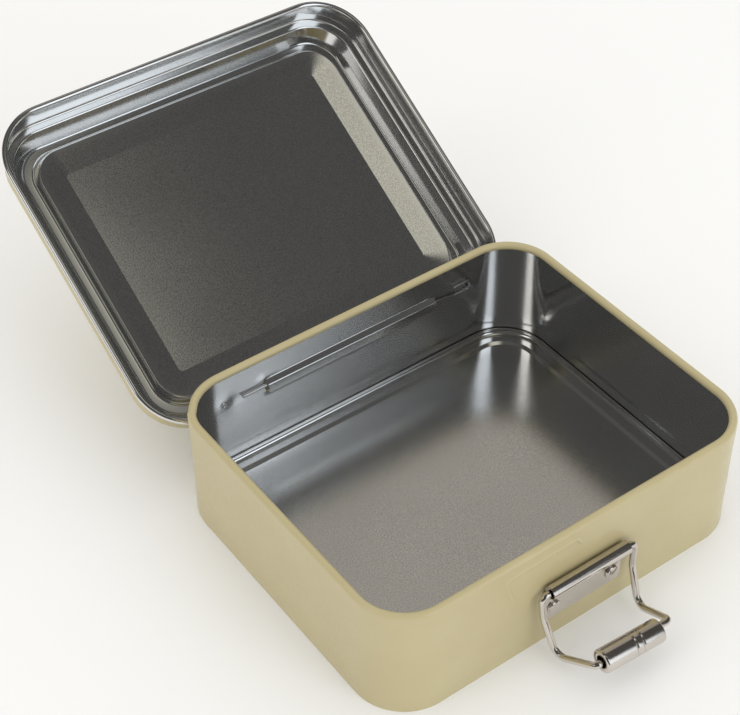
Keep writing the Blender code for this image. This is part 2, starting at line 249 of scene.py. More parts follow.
def enamel(name, colour, deep):
    """Satin baked enamel over tinplate."""
    material = bpy.data.materials.new(name)
    material.use_nodes = True
    tree = material.node_tree
    shader = tree.nodes["Principled BSDF"]
    skin_marks = tree.nodes.new("ShaderNodeGroup")
    skin_marks.node_tree = ENAMEL_SKIN
    skin_marks.inputs["Cloud Size"].default_value = 45
    skin_marks.inputs["Flow Size"].default_value = 520
    skin_marks.inputs["Rub Amount"].default_value = 0.55
    cloud, flow, rub = [skin_marks.outputs[mask] for mask in ("Cloud", "Flow", "Rub")]
    cloudy = blended(tree, ranged(tree, cloud, 0, 1), deep, colour)
    tree.links.new(blended(tree, rub, cloudy, TIN_PALE), shader.inputs["Base Color"])
    tree.links.new(rub, shader.inputs["Metallic"])
    tree.links.new(ranged(tree, flow, 0.30, 0.40), shader.inputs["Roughness"])
    tree.links.new(bumped(tree, flow, 0.10, PAINT_RELIEF), shader.inputs["Normal"])
    shader.inputs["IOR"].default_value = 1.5
    shader.inputs["Coat Weight"].default_value = 0.25
    shader.inputs["Coat Roughness"].default_value = 0.16
    return material


def rolled_metal(name, pale, dull, smooth, rough, stretch, relief=0, pits=0, flat_rougher=0):
    """Bare metal: pale to dull by its smudges, smooth to rough by its grain. Only where a sheet is
    marked as flat does it have relief, pits and the added roughness."""
    material = bpy.data.materials.new(name)
    material.use_nodes = True
    tree = material.node_tree
    shader = tree.nodes["Principled BSDF"]
    metal = tree.nodes.new("ShaderNodeGroup")
    metal.node_tree = ROLLED_METAL
    metal.inputs["Grain Size"].default_value = 1100
    metal.inputs["Grain Stretch"].default_value = stretch
    metal.inputs["Smudge Size"].default_value = 26
    grain, smudge, sparkle = [metal.outputs[mask] for mask in ("Grain", "Smudge", "Sparkle")]
    attribute = tree.nodes.new("ShaderNodeAttribute")
    attribute.attribute_name = "flat"
    flat = attribute.outputs["Fac"]
    clean = blended(tree, ranged(tree, smudge, 0, 1), pale, dull)
    pitted = product(tree, ranged(tree, sparkle, 0, pits, first=0.42, last=0.60), flat)
    pit_colour = tuple(PIT_TONE * value for value in dull)
    tree.links.new(blended(tree, pitted, clean, pit_colour), shader.inputs["Base Color"])
    brushed = tree.nodes.new("ShaderNodeMath")
    brushed.operation = "MULTIPLY_ADD"
    brushed.inputs[1].default_value = flat_rougher
    tree.links.new(flat, brushed.inputs[0])
    tree.links.new(ranged(tree, grain, smooth, rough), brushed.inputs[2])
    tree.links.new(brushed.outputs["Value"], shader.inputs["Roughness"])
    grainy = product(tree, sparkle, flat)
    tree.links.new(bumped(tree, grainy, relief, METAL_RELIEF), shader.inputs["Normal"])
    shader.inputs["Metallic"].default_value = 1
    return material


ENAMEL_SKIN = enamel_skin_group()
ROLLED_METAL = rolled_metal_group()
KHAKI_ENAMEL = enamel("khaki_enamel", PAINT_KHAKI, PAINT_DEEP)
BARE_TINPLATE = rolled_metal(
    "bare_tinplate", TIN_PALE, TIN_DULL, smooth=0.12, rough=0.135, stretch=3, relief=0.18, pits=0.7
)
BASE_TINPLATE = rolled_metal(
    "base_tinplate", TIN_PALE, TIN_DULL, smooth=0.135, rough=0.15, stretch=3, relief=0.18, pits=0.7,
    flat_rougher=0.07,
)


def spread_stations(length, spacing=COLUMN_SPACING):
    """Evenly spread shares from -1 to 1 along a straight side, without its two ends."""
    count = max(2, round(length / spacing))
    return [2 * step / count - 1 for step in range(1, count)]


def rounded_ring(half_x, half_y, corner, stations):
    """(x, y, outward x, outward y) round a rounded rectangle, anticlockwise from its (+x, -y) corner.
    stations holds the shares along the right, back, left and front sides."""
    ring = []
    sides = ((1, -1), (1, 1), (-1, 1), (-1, -1))
    for quarter, (side_x, side_y) in enumerate(sides):
        centre_x = side_x * (half_x - corner)
        centre_y = side_y * (half_y - corner)
        for step in range(CORNER_STEPS + 1):
            angle = (quarter - 1 + step / CORNER_STEPS) * pi / 2
            out_x, out_y = cos(angle), sin(angle)
            ring.append((centre_x + corner * out_x, centre_y + corner * out_y, out_x, out_y))
        out_x, out_y = round(cos(quarter * pi / 2)), round(sin(quarter * pi / 2))
        reach = half_y - corner if out_x else half_x - corner
        for share in stations[quarter]:
            if out_x:
                ring.append((out_x * half_x, out_x * share * reach, out_x, 0))
            else:
                ring.append((-out_y * share * reach, out_y * half_y, 0, out_y))
    return ring


def filleted(folds, steps):
    """(inset, height) points with each inner one turned into an arc: folds are (inset, height, radius)."""
    path = [Vector(folds[0][:2])]
    for before, fold, after in zip(folds, folds[1:], folds[2:]):
        point, radius = Vector(fold[:2]), fold[2]
        back = (Vector(before[:2]) - point).normalized()
        ahead = (Vector(after[:2]) - point).normalized()
        half = back.angle(ahead) / 2
        centre = point + (back + ahead).normalized() * radius / sin(half)
        first = point + back * radius / tan(half) - centre
        last = point + ahead * radius / tan(half) - centre
        turn = first.angle_signed(last)
        for step in range(steps + 1):
            path.append(centre + Matrix.Rotation(-turn * step / steps, 2) @ first)
    path.append(Vector(folds[-1][:2]))
    return path


def divided(path, longest):
    """The same path with its long straight runs cut into shorter ones."""
    result = [path[0]]
    for start, end in zip(path, path[1:]):
        pieces = max(1, round((end - start).length / longest))
        result += [start.lerp(end, step / pieces) for step in range(1, pieces + 1)]
    return result


def arc(centre, radius, start, end, steps):
    """Points of an arc in a plane; angles in degrees."""
    points = []
    for step in range(steps + 1):
        angle = radians(start + (end - start) * step / steps)
        points.append(Vector((centre[0] + radius * cos(angle), centre[1] + radius * sin(angle))))
    return points


def sheet_faces(path, half_x, half_y, corner_at, stations, thickness, press):
    """The two faces of a bent sheet as grids of points, rows along path and columns round the ring.
    The left face lies to the left of the path; press says how far a point is moved."""
    grids = ([], [])
    for index, point in enumerate(path):
        before = path[max(0, index - 1)]
        after = path[min(len(path) - 1, index + 1)]
        along = (after - before).normalized()
        across = Vector((-along.y, along.x))
        corner = corner_at(point.x)
        ring = rounded_ring(half_x - point.x, half_y - point.x, corner, stations)
        for side, grid in zip((1, -1), grids):
            shift = across * side * thickness / 2
            row = []
            for column, (x, y, out_x, out_y) in enumerate(ring):
                place = Vector((x - out_x * shift.x, y - out_y * shift.x, point.y + shift.y))
                normal = Vector((-out_x * across.x, -out_y * across.x, across.y))
                row.append(place + press(Vector((x, y, point.y)), normal, column))
            grid.append(row)
    return grids


def skin(grid, upward, fill_last=False, other=None, skip=(), flat_from=None):
    """A face of a sheet over its grid of points. With other given, the first rows of the two are
    joined. Where skip holds (row, column), that face is left out, and doubled columns are merged.
    From row flat_from on, the sheet is flat and keeps its grain; elsewhere the press has smoothed it."""
    builder = bmesh.new()
    flat = builder.verts.layers.float.new("flat")
    rows = [[builder.verts.new(place) for place in row] for row in grid]
    if other:
        rows.insert(0, [builder.verts.new(place) for place in other[0]])
    count = len(rows[0])
    for index, (lower, upper) in enumerate(zip(rows, rows[1:])):
        for column in range(count):
            after = (column + 1) % count
            if (index, column) in skip:
                continue
            corners = (lower[column], lower[after], upper[after], upper[column])
            builder.faces.new(corners if upward else corners[::-1])
    if fill_last:
        builder.faces.new(rows[-1] if upward else rows[-1][::-1])
    for face in builder.faces:
        face.smooth = True
    if flat_from:
        for row in rows[flat_from + (1 if other else 0):]:
            for corner in row:
                corner[flat] = 1
    if skip:
        bmesh.ops.remove_doubles(builder, verts=builder.verts, dist=SAME_PLACE)
    return builder


def ring_faces(builder, rings):
    """Smooth faces between each closed ring of points and the next."""
    for lower, upper in zip(rings, rings[1:]):
        for step in range(len(lower)):
            after = (step + 1) % len(lower)
            builder.faces.new((lower[step], lower[after], upper[after], upper[step])).smooth = True


def turned(profile, axis, centre, around=40):
    """A turned piece: profile points are (distance from the axis, place along it)."""
    builder = bmesh.new()
    rings = []
    for out, along in profile:
        ring = []
        for step in range(around):
            angle = 2 * pi * step / around
            if axis == "X":
                place = Vector((along, out * cos(angle), out * sin(angle)))
            else:
                place = Vector((out * sin(angle), along, out * cos(angle)))
            ring.append(builder.verts.new(place + centre))
        rings.append(ring)
    ring_faces(builder, rings)
    bmesh.ops.remove_doubles(builder, verts=builder.verts, dist=SAME_PLACE)
    bmesh.ops.recalc_face_normals(builder, faces=builder.faces)
    return builder


def finished(name, builder):
    """The mesh that a builder holds."""
    mesh = bpy.data.meshes.new(name)
    builder.to_mesh(mesh)
    builder.free()
    return mesh


def shown(name, builder, material, body, nodes, matrix=Matrix.Identity(4)):
    """Puts a piece in the scene over the CAD nodes that it stands for."""
    mesh = finished(name, builder)
    mesh.transform(matrix)
    piece = bpy.data.objects.new(name, mesh)
    bpy.context.scene.collection.objects.link(piece)
    piece.data.materials.append(material)
    shading = piece.modifiers.new("even_shading", "WEIGHTED_NORMAL")
    shading.keep_sharp = True
    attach(piece, body)
    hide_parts(*nodes)


def wall_stations():
    """Columns along the wall: the back side has a pair at each end of the hinge channel."""
    reach = HALF_WIDTH - BODY_CORNER
    end = CHANNEL_HALF / reach
    inner = [end * share for share in spread_stations(2 * CHANNEL_HALF, spacing=0.0028)]
    beside = spread_stations(reach - CHANNEL_HALF, spacing=0.0014)
    outer = [1 - (1 - end) * (1 - share) / 2 for share in beside]
    back = [-share for share in reversed(outer)] + [-end, -end] + inner + [end, end] + outer
    sides = spread_stations(2 * (HALF_DEPTH - BODY_CORNER))
    return (sides, back, sides, spread_stations(2 * reach))


def wall_path():
    """Up the wall and round its inward curl, in the middle of the sheet."""
    middle = SHEET / 2
    top = WALL_TOP - RIM_CURL
    path = [Vector((middle, 0))]
    path += divided([path[0], Vector((middle, channel_fold[0].y))], longest=0.003)[1:-1]
    path += [Vector((middle, place.y)) for place in channel_fold]
    path += divided([path[-1], Vector((middle, top - BELOW_CURL))], longest=0.0012)[1:]
    return path + arc((RIM_CURL, top), RIM_CURL - middle, 180, -105, CURL_STEPS)


def channel_depth(z):
    """How far the hinge channel stands in from the wall at a height."""
    for low, high in zip(channel_fold, channel_fold[1:]):
        if low.y <= z <= high.y:
            return low.x + (high.x - low.x) * (z - low.y) / (high.y - low.y)
    return 0


def wall_press(stations):
    """What moves the wall's points: gentle waves, the seam's lap, the hinge channel, small marks."""
    first_back = 2 * (CORNER_STEPS + 1) + len(stations[0])
    back = stations[1]
    end = CHANNEL_HALF / (HALF_WIDTH - BODY_CORNER)
    near_ends = [index for index, share in enumerate(back) if abs(abs(share) - end) < SAME_SHARE]
    channel = range(first_back + near_ends[1], first_back + near_ends[2] + 1)
    seam = first_back + len(back) + CORNER_STEPS * 2 // 3

    def press(point, normal, column):
        outward = Vector((normal.x, normal.y, 0))
        wave = noise.noise(Vector((point.x, point.y, point.z * WALL_WAVE_RISE)) / WALL_WAVE_SIZE)
        below_rim = min(1, max(0, (WALL_TOP - WAVE_FREE_RIM - point.z) / WAVE_RIM_FADE))
        quiet = below_rim * min(1, point.z / WAVE_FOOT_FADE)
        move = outward * (wave - 1) * WALL_WAVE * quiet
        if column <= seam and point.y > 0:
            away = Vector((point.x - SEAM_X, point.y - SEAM_Y)).length
            fade = max(0, 1 - away / SEAM_FADE)
            reach = Vector((point.x, point.y, 0)).normalized()
            move -= reach * SEAM_LAP * fade * fade
        if column in channel:
            move.y -= channel_depth(point.z)
        if point.y > HALF_DEPTH - PRESS_MARK_BAND:
            for x, z, radius, depth in PRESS_MARKS:
                off = Vector((point.x - x, point.z - z)).length / radius
                move.y += depth * exp(-off * off)
        return move

    return press, channel


def slit_edges(left, right, channel, low, high):
    """The cut edges of the sheet at both ends of the hinge channel."""
    builder = bmesh.new()
    for column in (channel[0] - 1, channel[0], channel[-1], channel[-1] + 1):
        pairs = [
            (builder.verts.new(left[row][column]), builder.verts.new(right[row][column]))
            for row in range(low, high + 1)
        ]
        flip = column in (channel[0] - 1, channel[-1])
        for (first, second), (third, fourth) in zip(pairs, pairs[1:]):
            corners = (first, second, fourth, third)
            builder.faces.new(corners[::-1] if flip else corners)
    return builder


channel_corners = (
    (0, CHANNEL_LOW, 0),
    (*CHANNEL_LIP, CHANNEL_BENDS[0]),
    (*CHANNEL_BROW, CHANNEL_BENDS[1]),
    (0, CHANNEL_HIGH, CHANNEL_BENDS[2]),
    (0, CHANNEL_HIGH + CHANNEL_ABOVE, 0),
)
channel_fold = divided(filleted(channel_corners, steps=7), longest=0.0004)
wall_sides = wall_stations()
press_wall, channel_columns = wall_press(wall_sides)
wall_rows = wall_path()
wall_left, wall_right = sheet_faces(
    wall_rows, HALF_WIDTH, HALF_DEPTH, lambda inset: BODY_CORNER - inset, wall_sides, SHEET, press_wall
)
in_channel = [row for row, point in enumerate(wall_rows) if channel_depth(point.y) > SLIT_DEPTH]
slit_gaps = {
    (row, column)
    for row in range(in_channel[0], in_channel[-1])
    for column in (channel_columns[0] - 1, channel_columns[-1])
}
shown(
    "wall_painted_face", skin(wall_left, upward=True, skip=slit_gaps),
    KHAKI_ENAMEL, "box", ("box_wall",),
)
shown(
    "wall_bare_face", skin(wall_right, upward=False, skip=slit_gaps),
    BARE_TINPLATE, "box", ("box_wall",),
)
shown(
    "channel_cut_edges",
    slit_edges(wall_left, wall_right, channel_columns, in_channel[0], in_channel[-1]),
    BARE_TINPLATE, "box", ("box_wall",),
)


def bead(path):
    """A low rounded bead on the front wall along (x, z) points, dying out at both ends."""
    builder = bmesh.new()
    rows = []
    for index, point in enumerate(path):
        ahead = (path[min(index + 1, len(path) - 1)] - path[max(index - 1, 0)]).normalized()
        near_end = min(index, len(path) - 1 - index) / BEAD_FADE
        height = BEAD_RISE * sin(pi / 2 * min(1, near_end))
        row = []
        for step in range(-BEAD_STEPS, BEAD_STEPS + 1):
            across = Vector((-ahead.y, ahead.x)) * BEAD_HALF * step / BEAD_STEPS
            proud = height * cos(pi / 2 * step / BEAD_STEPS) ** 2 - BEAD_SINK
            spot = Vector((point.x + across.x, -HALF_DEPTH, point.y + across.y))
            spot += press_wall(spot, Vector((0, -1, 0)), -1)
            row.append(builder.verts.new(spot - Vector((0, proud, 0))))
        rows.append(row)
    for lower, upper in zip(rows, rows[1:]):
        for step in range(2 * BEAD_STEPS):
            corners = (lower[step], upper[step], upper[step + 1], lower[step + 1])
            builder.faces.new(corners).smooth = True
    return builder


shown(
    "front_bead", bead(divided(filleted(BEAD_CORNERS, steps=8), longest=0.0005)),
    KHAKI_ENAMEL, "box", ("box_wall",),
)
mark_profile = [(MARK_RADIUS * share, MARK_FACE - rise) for share, rise in MARK_RELIEF]
shown(
    "press_mark", turned(mark_profile, "Y", Vector((MARK_X, 0, MARK_Z))),
    BARE_TINPLATE, "box", ("box_wall",),
)


# ---- The base -----------------------------------------------------------------------------------
# A pressed tray of the same tinplate, bare on both faces: its flange stands up close inside the
# wall. A shallow step lets the floor down to the table inside a raised ring.

BASE_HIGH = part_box("box_base")[1]
BASE_INSET = 2 * SHEET + GAP
BASE_COVE = 0.0018
BASE_STEP_OUT = 0.0055
BASE_STEP_IN = 0.0068
BASE_STEP_DOWN = 0.0008
BASE_STEP_BEND = 0.0005
BASE_LEAST_CORNER = 0.0012
FLOOR_WAVE = 0.00009
FLOOR_WAVE_SIZE = 0.045
FLOOR_WAVE_LIFT = 0.9
FLOOR_WAVE_FADE = 0.012
FLOOR_WAVE_PLACE = 3
MIDDLE_LEFT = 0.012
PAST_BEND = 0.0006


def base_path():
    """Down the flange, over the cove and the ring, then down the step and across the floor."""
    middle = SHEET / 2
    ring = SHEET / 2 + BASE_STEP_DOWN
    folds = [
        (BASE_INSET - middle, BASE_HIGH.z, 0),
        (BASE_INSET - middle, ring, BASE_COVE),
        (BASE_STEP_OUT, ring, BASE_STEP_BEND),
        (BASE_STEP_IN, middle, BASE_STEP_BEND),
        (HALF_DEPTH - MIDDLE_LEFT, middle, 0),
    ]
    return divided(filleted(folds, steps=7), longest=0.004)


def base_press(point, normal, column):
    """The floor isn't dead flat: it is a little slack, as thin pressed sheet is."""
    inward = min(HALF_WIDTH - abs(point.x), HALF_DEPTH - abs(point.y))
    slack = min(1, max(0, (inward - BASE_STEP_IN) / FLOOR_WAVE_FADE))
    wave = noise.noise(Vector((point.x, point.y, FLOOR_WAVE_PLACE)) / FLOOR_WAVE_SIZE)
    return Vector((0, 0, (wave + FLOOR_WAVE_LIFT) * FLOOR_WAVE * slack))


base_sides = tuple(
    spread_stations(2 * (half - BODY_CORNER)) for half in (HALF_DEPTH, HALF_WIDTH, HALF_DEPTH, HALF_WIDTH)
)
base_rows = base_path()
base_flat = min(row for row, point in enumerate(base_rows) if point.x > BASE_STEP_IN + PAST_BEND)
base_upper, base_under = sheet_faces(
    base_rows, HALF_WIDTH, HALF_DEPTH, lambda inset: max(BODY_CORNER - inset, BASE_LEAST_CORNER),
    base_sides, SHEET, base_press,
)
shown(
    "base_upper_face",
    skin(base_upper, upward=True, fill_last=True, other=base_under, flat_from=base_flat),
    BASE_TINPLATE, "box", ("box_base",),
)
shown(
    "base_under_face", skin(base_under, upward=False, fill_last=True),
    BASE_TINPLATE, "box", ("box_base",),
)


# ---- The lid ------------------------------------------------------------------------------------
# Drawn from one sheet, painted outside and bare inside: an outward curl, the skirt, a ledge, a
# second wall, a rounded crown, a ridge, then a bevel down to a centre panel with sharp corners.

LID_WIDTH = 2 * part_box("lid_shell")[1].x
LID_DEPTH = 0.13098
LID_CORNER = 0.0214
LID_CENTRE_Y = -0.00037
LID_RIM_Z = 0.03492
LID_CURL = 0.0011
LID_CURL_SHEET = 0.00032
SKIRT_INSET = 2 * LID_CURL
LEDGE_DEPTH = 0.0109
LEDGE_BENDS = (0.0009, 0.0007)
WALL_INSET = 0.0051
CROWN_DEPTH = 0.0170
CROWN_INSET = 0.0090
CROWN_END = 0.0124
CROWN_BEND = 0.0012
RIDGE_INSET = 0.0135
RIDGE_DEPTH = 0.0134
RIDGE_CORNER = 0.0110
RIDGE_BEND = 0.0004
PANEL_INSET = 0.0234
PANEL_DEPTH = 0.0148
PANEL_CORNER = 0.0014
PANEL_BEND = 0.0006
PANEL_WAVE = 0.00010
PANEL_WAVE_SIZE = 0.05
PANEL_WAVE_FADE = 0.01
PANEL_WAVE_PLACE = 11
NOTCH_RISE = 2 * LID_CURL + 0.0005
LID_OPEN = -radians(HINGE["range_deg"][1])

lid_place = Matrix.Translation((0, HINGE_Y, HINGE_Z)) @ Matrix.Rotation(LID_OPEN, 4, "X")
lid_back = LID_CENTRE_Y + LID_DEPTH / 2


def lid_corner(inset):
    """The ring's corner radius at an inset: it tightens towards the ridge and is sharp at the panel."""
    known = (
        (0.0, LID_CORNER),
        (WALL_INSET, LID_CORNER - WALL_INSET),
        (CROWN_INSET, LID_CORNER - CROWN_INSET),
        (CROWN_END, RIDGE_CORNER),
        (RIDGE_INSET, RIDGE_CORNER),
        (PANEL_INSET, PANEL_CORNER),
    )
    for (start, first), (end, last) in zip(known, known[1:]):
        if inset <= end:
            share = max(0, (inset - start) / (end - start))
            return first + (last - first) * share
    return PANEL_CORNER


def lid_path():
    """Round the curl, up the skirt and over the folds to the panel, in the middle of the sheet."""
    half = LID_CURL_SHEET / 2
    curl = arc((LID_CURL, LID_CURL), LID_CURL - half, 80, 360, CURL_STEPS)
    inset = SKIRT_INSET - half
    folds = [
        (inset, LID_CURL, 0),
        (inset, LEDGE_DEPTH, LEDGE_BENDS[0]),
        (WALL_INSET, LEDGE_DEPTH + half, LEDGE_BENDS[1]),
        (CROWN_INSET, CROWN_DEPTH, CROWN_BEND),
        (CROWN_END, CROWN_DEPTH, CROWN_BEND),
        (RIDGE_INSET, RIDGE_DEPTH, RIDGE_BEND),
        (PANEL_INSET, PANEL_DEPTH, PANEL_BEND),
        (LID_DEPTH / 2 - MIDDLE_LEFT, PANEL_DEPTH, 0),
    ]
    return curl[:-1] + divided(filleted(folds, steps=6), longest=0.0035)


def lid_press(point, normal, column):
    """The panel is slightly slack between its stiff folds."""
    inward = min(LID_WIDTH / 2 - abs(point.x), LID_DEPTH / 2 - abs(point.y))
    slack = min(1, max(0, (inward - PANEL_INSET) / PANEL_WAVE_FADE))
    wave = noise.noise(Vector((point.x, point.y, PANEL_WAVE_PLACE)) / PANEL_WAVE_SIZE)
    return Vector((0, 0, wave * PANEL_WAVE * slack))


def lid_stations():
    """Columns round the lid: the back side has one at each end of the notch in its curl."""
    reach = LID_WIDTH / 2 - LID_CORNER
    end = CHANNEL_HALF / reach
    inner = [end * share for share in spread_stations(2 * CHANNEL_HALF)]
    beside = spread_stations(reach - CHANNEL_HALF, spacing=0.0017)
    outer = [1 - (1 - end) * (1 - share) / 2 for share in beside]
    back = [-share for share in reversed(outer)] + [-end] + inner + [end] + outer
    front = spread_stations(2 * reach)
    sides = spread_stations(LID_DEPTH - 2 * LID_CORNER)
    return (sides, back, sides, front)


def lid_notch(sides, path):
    """The faces of the curl that are cut away at the back, where the leaf leaves the skirt."""
    first_back = 2 * (CORNER_STEPS + 1) + len(sides[0])
    end = CHANNEL_HALF / (LID_WIDTH / 2 - LID_CORNER)
    inside = [index for index, share in enumerate(sides[1]) if abs(share) <= end + SAME_SHARE]
    rows = [row for row, point in enumerate(path) if point.x < SKIRT_INSET and point.y < NOTCH_RISE]
    columns = range(first_back + inside[0], first_back + inside[-1])
    return {(row, column) for row in rows for column in columns}


lid_sides = lid_stations()
lid_rows = lid_path()
lid_outer, lid_inner = sheet_faces(
    lid_rows, LID_WIDTH / 2, LID_DEPTH / 2, lid_corner, lid_sides, LID_CURL_SHEET, lid_press
)
for grid in (lid_outer, lid_inner):
    for row in grid:
        for place in row:
            place.y += LID_CENTRE_Y - HINGE_Y
            place.z += LID_RIM_Z - HINGE_Z
notch_faces = lid_notch(lid_sides, lid_rows)
lid_flat = min(row for row, point in enumerate(lid_rows) if point.x > RIDGE_INSET + PAST_BEND)
shown(
    "lid_painted_face", skin(lid_outer, upward=True, fill_last=True, skip=notch_faces),
    KHAKI_ENAMEL, "lid", ("lid_shell",), lid_place,
)
shown(
    "lid_bare_face",
    skin(lid_inner, upward=False, fill_last=True, skip=notch_faces, flat_from=lid_flat),
    BARE_TINPLATE, "lid", ("lid_shell",), lid_place,
)


# ---- The hinge ----------------------------------------------------------------------------------
# A leaf of painted tinplate stands close outside the lid's back skirt, where the curl is cut away,
# and is rolled round a steel wire pin. The pin lies in the wall's channel; its ends pass through
# the slits and run along the inner face.

LEAF_HALF = 0.0325
LEAF_CLEARANCE = 0.0002
LEAF_BELOW_LEDGE = 0.0015
LEAF_FOOT = 0.003
LEAF_COLUMNS = 24
WIRE_BEVEL = 0.3
PIN_RADIUS = 0.00065
PIN_LIFT = 0.0002
PIN_JOG_START = 0.0332
PIN_JOG_END = 0.0358
PIN_LEFT_END = 0.0465
PIN_LOOP_START = 0.0450
PIN_LOOP_END = 0.0522
PIN_LOOP_RISE = 0.0024
PIN_BENDS = (0.001, 0.001, 0.001, 0.001, 0.002, 0.0012, 0.0012)
STEEL_PALE = (0.62, 0.62, 0.61)
STEEL_DULL = (0.50, 0.50, 0.49)

DRAWN_STEEL = rolled_metal("drawn_steel", STEEL_PALE, STEEL_DULL, smooth=0.16, rough=0.24, stretch=20)


def strip(path, half_at, thickness, columns):
    """A strip of sheet ruled along X, both faces and all edges: path is (y, z) down its middle."""
    builder = bmesh.new()
    sides = []
    for side in (1, -1):
        rows = []
        for index, point in enumerate(path):
            along = (path[min(len(path) - 1, index + 1)] - path[max(0, index - 1)]).normalized()
            across = Vector((-along.y, along.x)) * side * thickness / 2
            half = half_at(index)
            row = []
            for column in range(columns + 1):
                x = half * (2 * column / columns - 1)
                row.append(builder.verts.new((x, point.x + across.x, point.y + across.y)))
            rows.append(row)
        sides.append(rows)
    for rows, order in zip(sides, (1, -1)):
        for lower, upper in zip(rows, rows[1:]):
            for column in range(columns):
                corners = (lower[column], lower[column + 1], upper[column + 1], upper[column])
                builder.faces.new(corners[::order]).smooth = True
    left, right = sides
    for row, order in ((0, -1), (-1, 1)):
        for column in range(columns):
            corners = (left[row][column], left[row][column + 1], right[row][column + 1], right[row][column])
            builder.faces.new(corners[::order])
    for column, order in ((0, -1), (-1, 1)):
        for row in range(len(path) - 1):
            corners = (left[row][column], right[row][column], right[row + 1][column], left[row + 1][column])
            builder.faces.new(corners[::-order])
    bmesh.ops.recalc_face_normals(builder, faces=builder.faces)
    return builder


def rounded_route(points, radii, steps=10):
    """A wire's route with each bend turned into an arc of the given radius."""
    route = [Vector(points[0])]
    for before, corner, after, radius in zip(points, points[1:], points[2:], radii):
        corner = Vector(corner)
        back = (Vector(before) - corner).normalized()
        ahead = (Vector(after) - corner).normalized()
        half = back.angle(ahead) / 2
        centre = corner + (back + ahead).normalized() * radius / sin(half)
        first = (corner + back * radius / tan(half) - centre).normalized()
        last = (corner + ahead * radius / tan(half) - centre).normalized()
        for step in range(steps + 1):
            route.append(centre + first.slerp(last, step / steps) * radius)
    route.append(Vector(points[-1]))
    return route


def wire(route, radius, around=20):
    """Round wire along a route, its cut ends slightly bevelled."""
    builder = bmesh.new()
    bevel = radius * WIRE_BEVEL
    stations = [(route[0], radius - bevel), (route[0], radius)]
    stations += [(point, radius) for point in route[1:-1]]
    stations += [(route[-1], radius), (route[-1], radius - bevel)]
    starts = (route[1] - route[0]).normalized() * bevel
    ends = (route[-1] - route[-2]).normalized() * bevel
    side = starts.orthogonal().normalized()
    rings = []
    for index, (point, size) in enumerate(stations):
        if index == 1:
            point = point + starts
        if index == len(stations) - 2:
            point = point - ends
        place = max(0, min(len(route) - 1, index - 1))
        along = route[min(len(route) - 1, place + 1)] - route[max(0, place - 1)]
        along.normalize()
        side = (side - along * side.dot(along)).normalized()
        other = along.cross(side)
        ring = []
        for step in range(around):
            angle = 2 * pi * step / around
            ring.append(builder.verts.new(point + (side * cos(angle) + other * sin(angle)) * size))
        rings.append(ring)
    ring_faces(builder, rings)
    builder.faces.new(rings[0][::-1])
    builder.faces.new(rings[-1])
    return builder


leaf_y = lid_back - HINGE_Y - SKIRT_INSET + SHEET + GAP + SHEET / 2
leaf_top = LID_RIM_Z + LEDGE_DEPTH - LEAF_BELOW_LEDGE - HINGE_Z
leaf_roll = PIN_RADIUS + LEAF_CLEARANCE + SHEET / 2
leaf_corners = [Vector((leaf_y, leaf_top)), Vector((leaf_y, LEAF_FOOT)), Vector((leaf_roll, 0))]
leaf_path = divided(leaf_corners, longest=0.002)[:-1]
leaf_path += arc((0, 0), leaf_roll, 0, -290, steps=30)
shown(
    "hinge_leaf_piece", strip(leaf_path, lambda index: LEAF_HALF, SHEET, LEAF_COLUMNS),
    KHAKI_ENAMEL, "lid", ("hinge_leaf",), lid_place,
)

pin_inside = HALF_DEPTH - SHEET - PIN_LIFT - PIN_RADIUS
pin_corners = (
    (-PIN_LEFT_END, pin_inside, HINGE_Z),
    (-PIN_JOG_END, pin_inside, HINGE_Z),
    (-PIN_JOG_START, HINGE_Y, HINGE_Z),
    (PIN_JOG_START, HINGE_Y, HINGE_Z),
    (PIN_JOG_END, pin_inside, HINGE_Z),
    (PIN_LOOP_START, pin_inside, HINGE_Z - PIN_LOOP_RISE / 2),
    (PIN_LOOP_END, pin_inside, HINGE_Z - PIN_LOOP_RISE / 2),
    (PIN_LOOP_END, pin_inside, HINGE_Z + PIN_LOOP_RISE),
    (PIN_LOOP_START, pin_inside, HINGE_Z + PIN_LOOP_RISE),
)
shown(
    "hinge_pin_wire", wire(rounded_route(pin_corners, PIN_BENDS), PIN_RADIUS),
    DRAWN_STEEL, "box", ("hinge_pin",),
)


# ---- The latch bracket and its rivets -----------------------------------------------------------
# Nickel-plated sheet, riveted flat to the front wall by two low round heads and rolled over at the
# top into a tube that carries the wire.

BRACKET_SHEET = 0.0004
BRACKET_RADIUS = 0.0024
BRACKET_HALF = 0.0160
BRACKET_Z = 0.026
BRACKET_FOOT = 0.0100
BRACKET_FOOT_ROUND = 0.0016
BRACKET_FOOT_STEPS = 6
BRACKET_COLUMNS = 20
BRACKET_Y = -(HALF_DEPTH + GAP + BRACKET_RADIUS)
RIVET_Z = 0.0150
RIVET_HEAD = 0.0026
RIVET_RISE = 0.0011
RIVET_SHOULDER = 0.6
RIVET_SHANK = 0.0010
RIVET_SUNK = 0.0001
RIVET_STEPS = 12
# The button inside the wall: share of the head's radius and how far it stands in.
RIVET_BUTTON = ((0.74, 0), (0.80, 0.0002), (0.76, 0.0006), (0.45, 0.0008), (0, 0.00085))
NICKEL_PALE = (0.68, 0.635, 0.59)
NICKEL_DULL = (0.60, 0.555, 0.51)

NICKEL_PLATE = rolled_metal("nickel_plate", NICKEL_PALE, NICKEL_DULL, smooth=0.10, rough=0.13, stretch=6)


